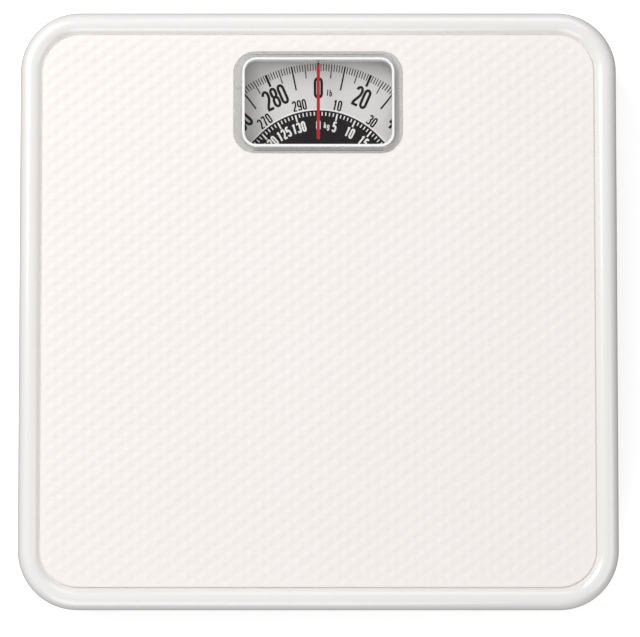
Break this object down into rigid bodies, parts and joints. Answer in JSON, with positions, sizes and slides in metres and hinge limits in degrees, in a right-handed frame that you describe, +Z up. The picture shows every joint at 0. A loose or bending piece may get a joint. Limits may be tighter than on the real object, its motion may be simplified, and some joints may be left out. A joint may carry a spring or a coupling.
{
  "type": "mechanical dial platform scale",
  "caption": "Square spring platform scale with a textured mat, a clear window over a turning dial, and a lever and rack movement inside.",
  "frame": {"origin": "on the floor, under the middle of the platform", "axes": "+Z up, +Y towards the window end, +X to the right when the dial is read"},
  "size_m": [0.266, 0.266, 0.05],
  "materials": {
    "white_enamel": "gloss",
    "vinyl_mat": "soft satin, embossed with small domes",
    "clear_plastic": "clear, polished",
    "red_plastic": "gloss",
    "dial_print": "matt, printed black and white",
    "black_rubber": "matt",
    "grey_plastic": "satin",
    "brass": "satin",
    "spring_steel": "satin",
    "bright_steel": "satin",
    "zinc_plated_steel": "satin, zinc plated"
  },
  "bodies": {
    "base": {"base_pan": "white_enamel", "rubber_feet": "black_rubber", "foot_rivets": "bright_steel", "fulcrum_post_front_left": "zinc_plated_steel", "fulcrum_post_front_right": "zinc_plated_steel", "fulcrum_post_rear_left": "zinc_plated_steel", "fulcrum_post_rear_right": "zinc_plated_steel", "dial_bridge": "zinc_plated_steel", "bridge_rivets": "bright_steel", "spindle_bush": "brass", "footstep_bearing": "brass", "rack_guide": "zinc_plated_steel", "rack_spring_anchor": "zinc_plated_steel", "rack_spring": "spring_steel", "crank_bracket": "zinc_plated_steel", "crank_bracket_rivets": "bright_steel", "crank_pivot_pin": "bright_steel", "spring_post_left": "zinc_plated_steel", "spring_post_right": "zinc_plated_steel", "post_rivets": "bright_steel", "main_spring_left": "spring_steel", "main_spring_right": "spring_steel", "thumbwheel_keeper": "zinc_plated_steel", "keeper_rivet": "bright_steel", "hold_down_springs": "spring_steel"},
    "platform": {"platform": "white_enamel", "platform_mat": "vinyl_mat", "window_lens": "clear_plastic", "lens_clips": "spring_steel", "pointer": "red_plastic", "platform_stiffeners": "zinc_plated_steel", "platform_bracket_front_left": "zinc_plated_steel", "platform_bracket_front_right": "zinc_plated_steel", "platform_bracket_rear_left": "zinc_plated_steel", "platform_bracket_rear_right": "zinc_plated_steel"},
    "dial": {"dial_disc": "dial_print", "dial_hub": "bright_steel", "hub_rivets": "bright_steel", "pinion": "brass", "dial_spindle": "bright_steel"},
    "rack": {"rack": "brass"},
    "bell_crank": {"bell_crank": "brass", "crank_arm_pins": "bright_steel"},
    "calibrating_plate": {"calibrating_plate": "zinc_plated_steel"},
    "long_lever_left": {"long_lever_left": "zinc_plated_steel", "long_lever_left_pins": "bright_steel"},
    "long_lever_right": {"long_lever_right": "zinc_plated_steel", "long_lever_right_pins": "bright_steel"},
    "short_lever_left": {"short_lever_left": "zinc_plated_steel", "short_lever_left_pins": "bright_steel"},
    "short_lever_right": {"short_lever_right": "zinc_plated_steel", "short_lever_right_pins": "bright_steel"},
    "spring_beam": {"spring_beam": "zinc_plated_steel", "adjusting_screw": "bright_steel"},
    "thumbwheel": {"thumbwheel": "grey_plastic"}
  },
  "joints": [
    {"name": "dial_spin", "type": "hinge", "parent": "base", "child": "dial", "pos_m": [0, 0.0524, 0.0376], "axis": [0, 0, 1], "range_deg": [0, 360]},
    {"name": "platform_sink", "type": "slide", "parent": "base", "child": "platform", "axis": [0, 0, -1], "range_m": [0, 0.0004979], "stiffness_N_per_m": 2680000, "springref_m": -0.00001, "deforming": ["hold_down_springs"]},
    {"name": "plate_drop", "type": "slide", "parent": "base", "child": "calibrating_plate", "axis": [0, 0, -1], "range_m": [0, 0.0081], "deforming": ["main_spring_left", "main_spring_right"]},
    {"name": "crank_swing", "type": "hinge", "parent": "base", "child": "bell_crank", "pos_m": [0, 0.092, 0.014], "axis": [-1, 0, 0], "range_deg": [0, 66]},
    {"name": "rack_slide", "type": "slide", "parent": "base", "child": "rack", "axis": [0, 1, 0], "range_m": [0, 0.01575], "deforming": ["rack_spring"]},
    {"name": "long_lever_right_tilt", "type": "hinge", "parent": "base", "child": "long_lever_right", "pos_m": [0.104, -0.104, 0.018], "axis": [-0.9203, -0.3912, 0], "range_deg": [0, 2.1]},
    {"name": "long_lever_left_tilt", "type": "hinge", "parent": "base", "child": "long_lever_left", "pos_m": [-0.104, -0.104, 0.018], "axis": [-0.9203, 0.3912, 0], "range_deg": [0, 2.1]},
    {"name": "short_lever_right_tilt", "type": "hinge", "parent": "base", "child": "short_lever_right", "pos_m": [0.104, 0.104, 0.018], "axis": [0.9203, -0.3912, 0], "range_deg": [0, 2.1]},
    {"name": "short_lever_left_tilt", "type": "hinge", "parent": "base", "child": "short_lever_left", "pos_m": [-0.104, 0.104, 0.018], "axis": [0.9203, 0.3912, 0], "range_deg": [0, 2.1]},
    {"name": "thumbwheel_spin", "type": "hinge", "parent": "base", "child": "thumbwheel", "pos_m": [0, 0.1165, 0.0093], "axis": [0, 0, 1], "range_deg": [-180, 180]},
    {"name": "beam_lift", "type": "slide", "parent": "base", "child": "spring_beam", "axis": [0, 0, 1], "range_m": [-0.0005, 0.0005]}
  ],
  "couplings": [
    {"joint": "dial_spin", "follows": "platform_sink", "rad_per_m": 12618},
    {"joint": "plate_drop", "follows": "platform_sink", "ratio": 16.066},
    {"joint": "crank_swing", "follows": "platform_sink", "rad_per_m": 2299.1},
    {"joint": "rack_slide", "follows": "platform_sink", "ratio": 31.546},
    {"joint": "long_lever_right_tilt", "follows": "platform_sink", "rad_per_m": 71.429},
    {"joint": "long_lever_left_tilt", "follows": "platform_sink", "rad_per_m": 71.429},
    {"joint": "short_lever_right_tilt", "follows": "platform_sink", "rad_per_m": 71.429},
    {"joint": "short_lever_left_tilt", "follows": "platform_sink", "rad_per_m": 71.429},
    {"joint": "thumbwheel_spin", "follows": "beam_lift", "rad_per_m": 6283.2}
  ]
}
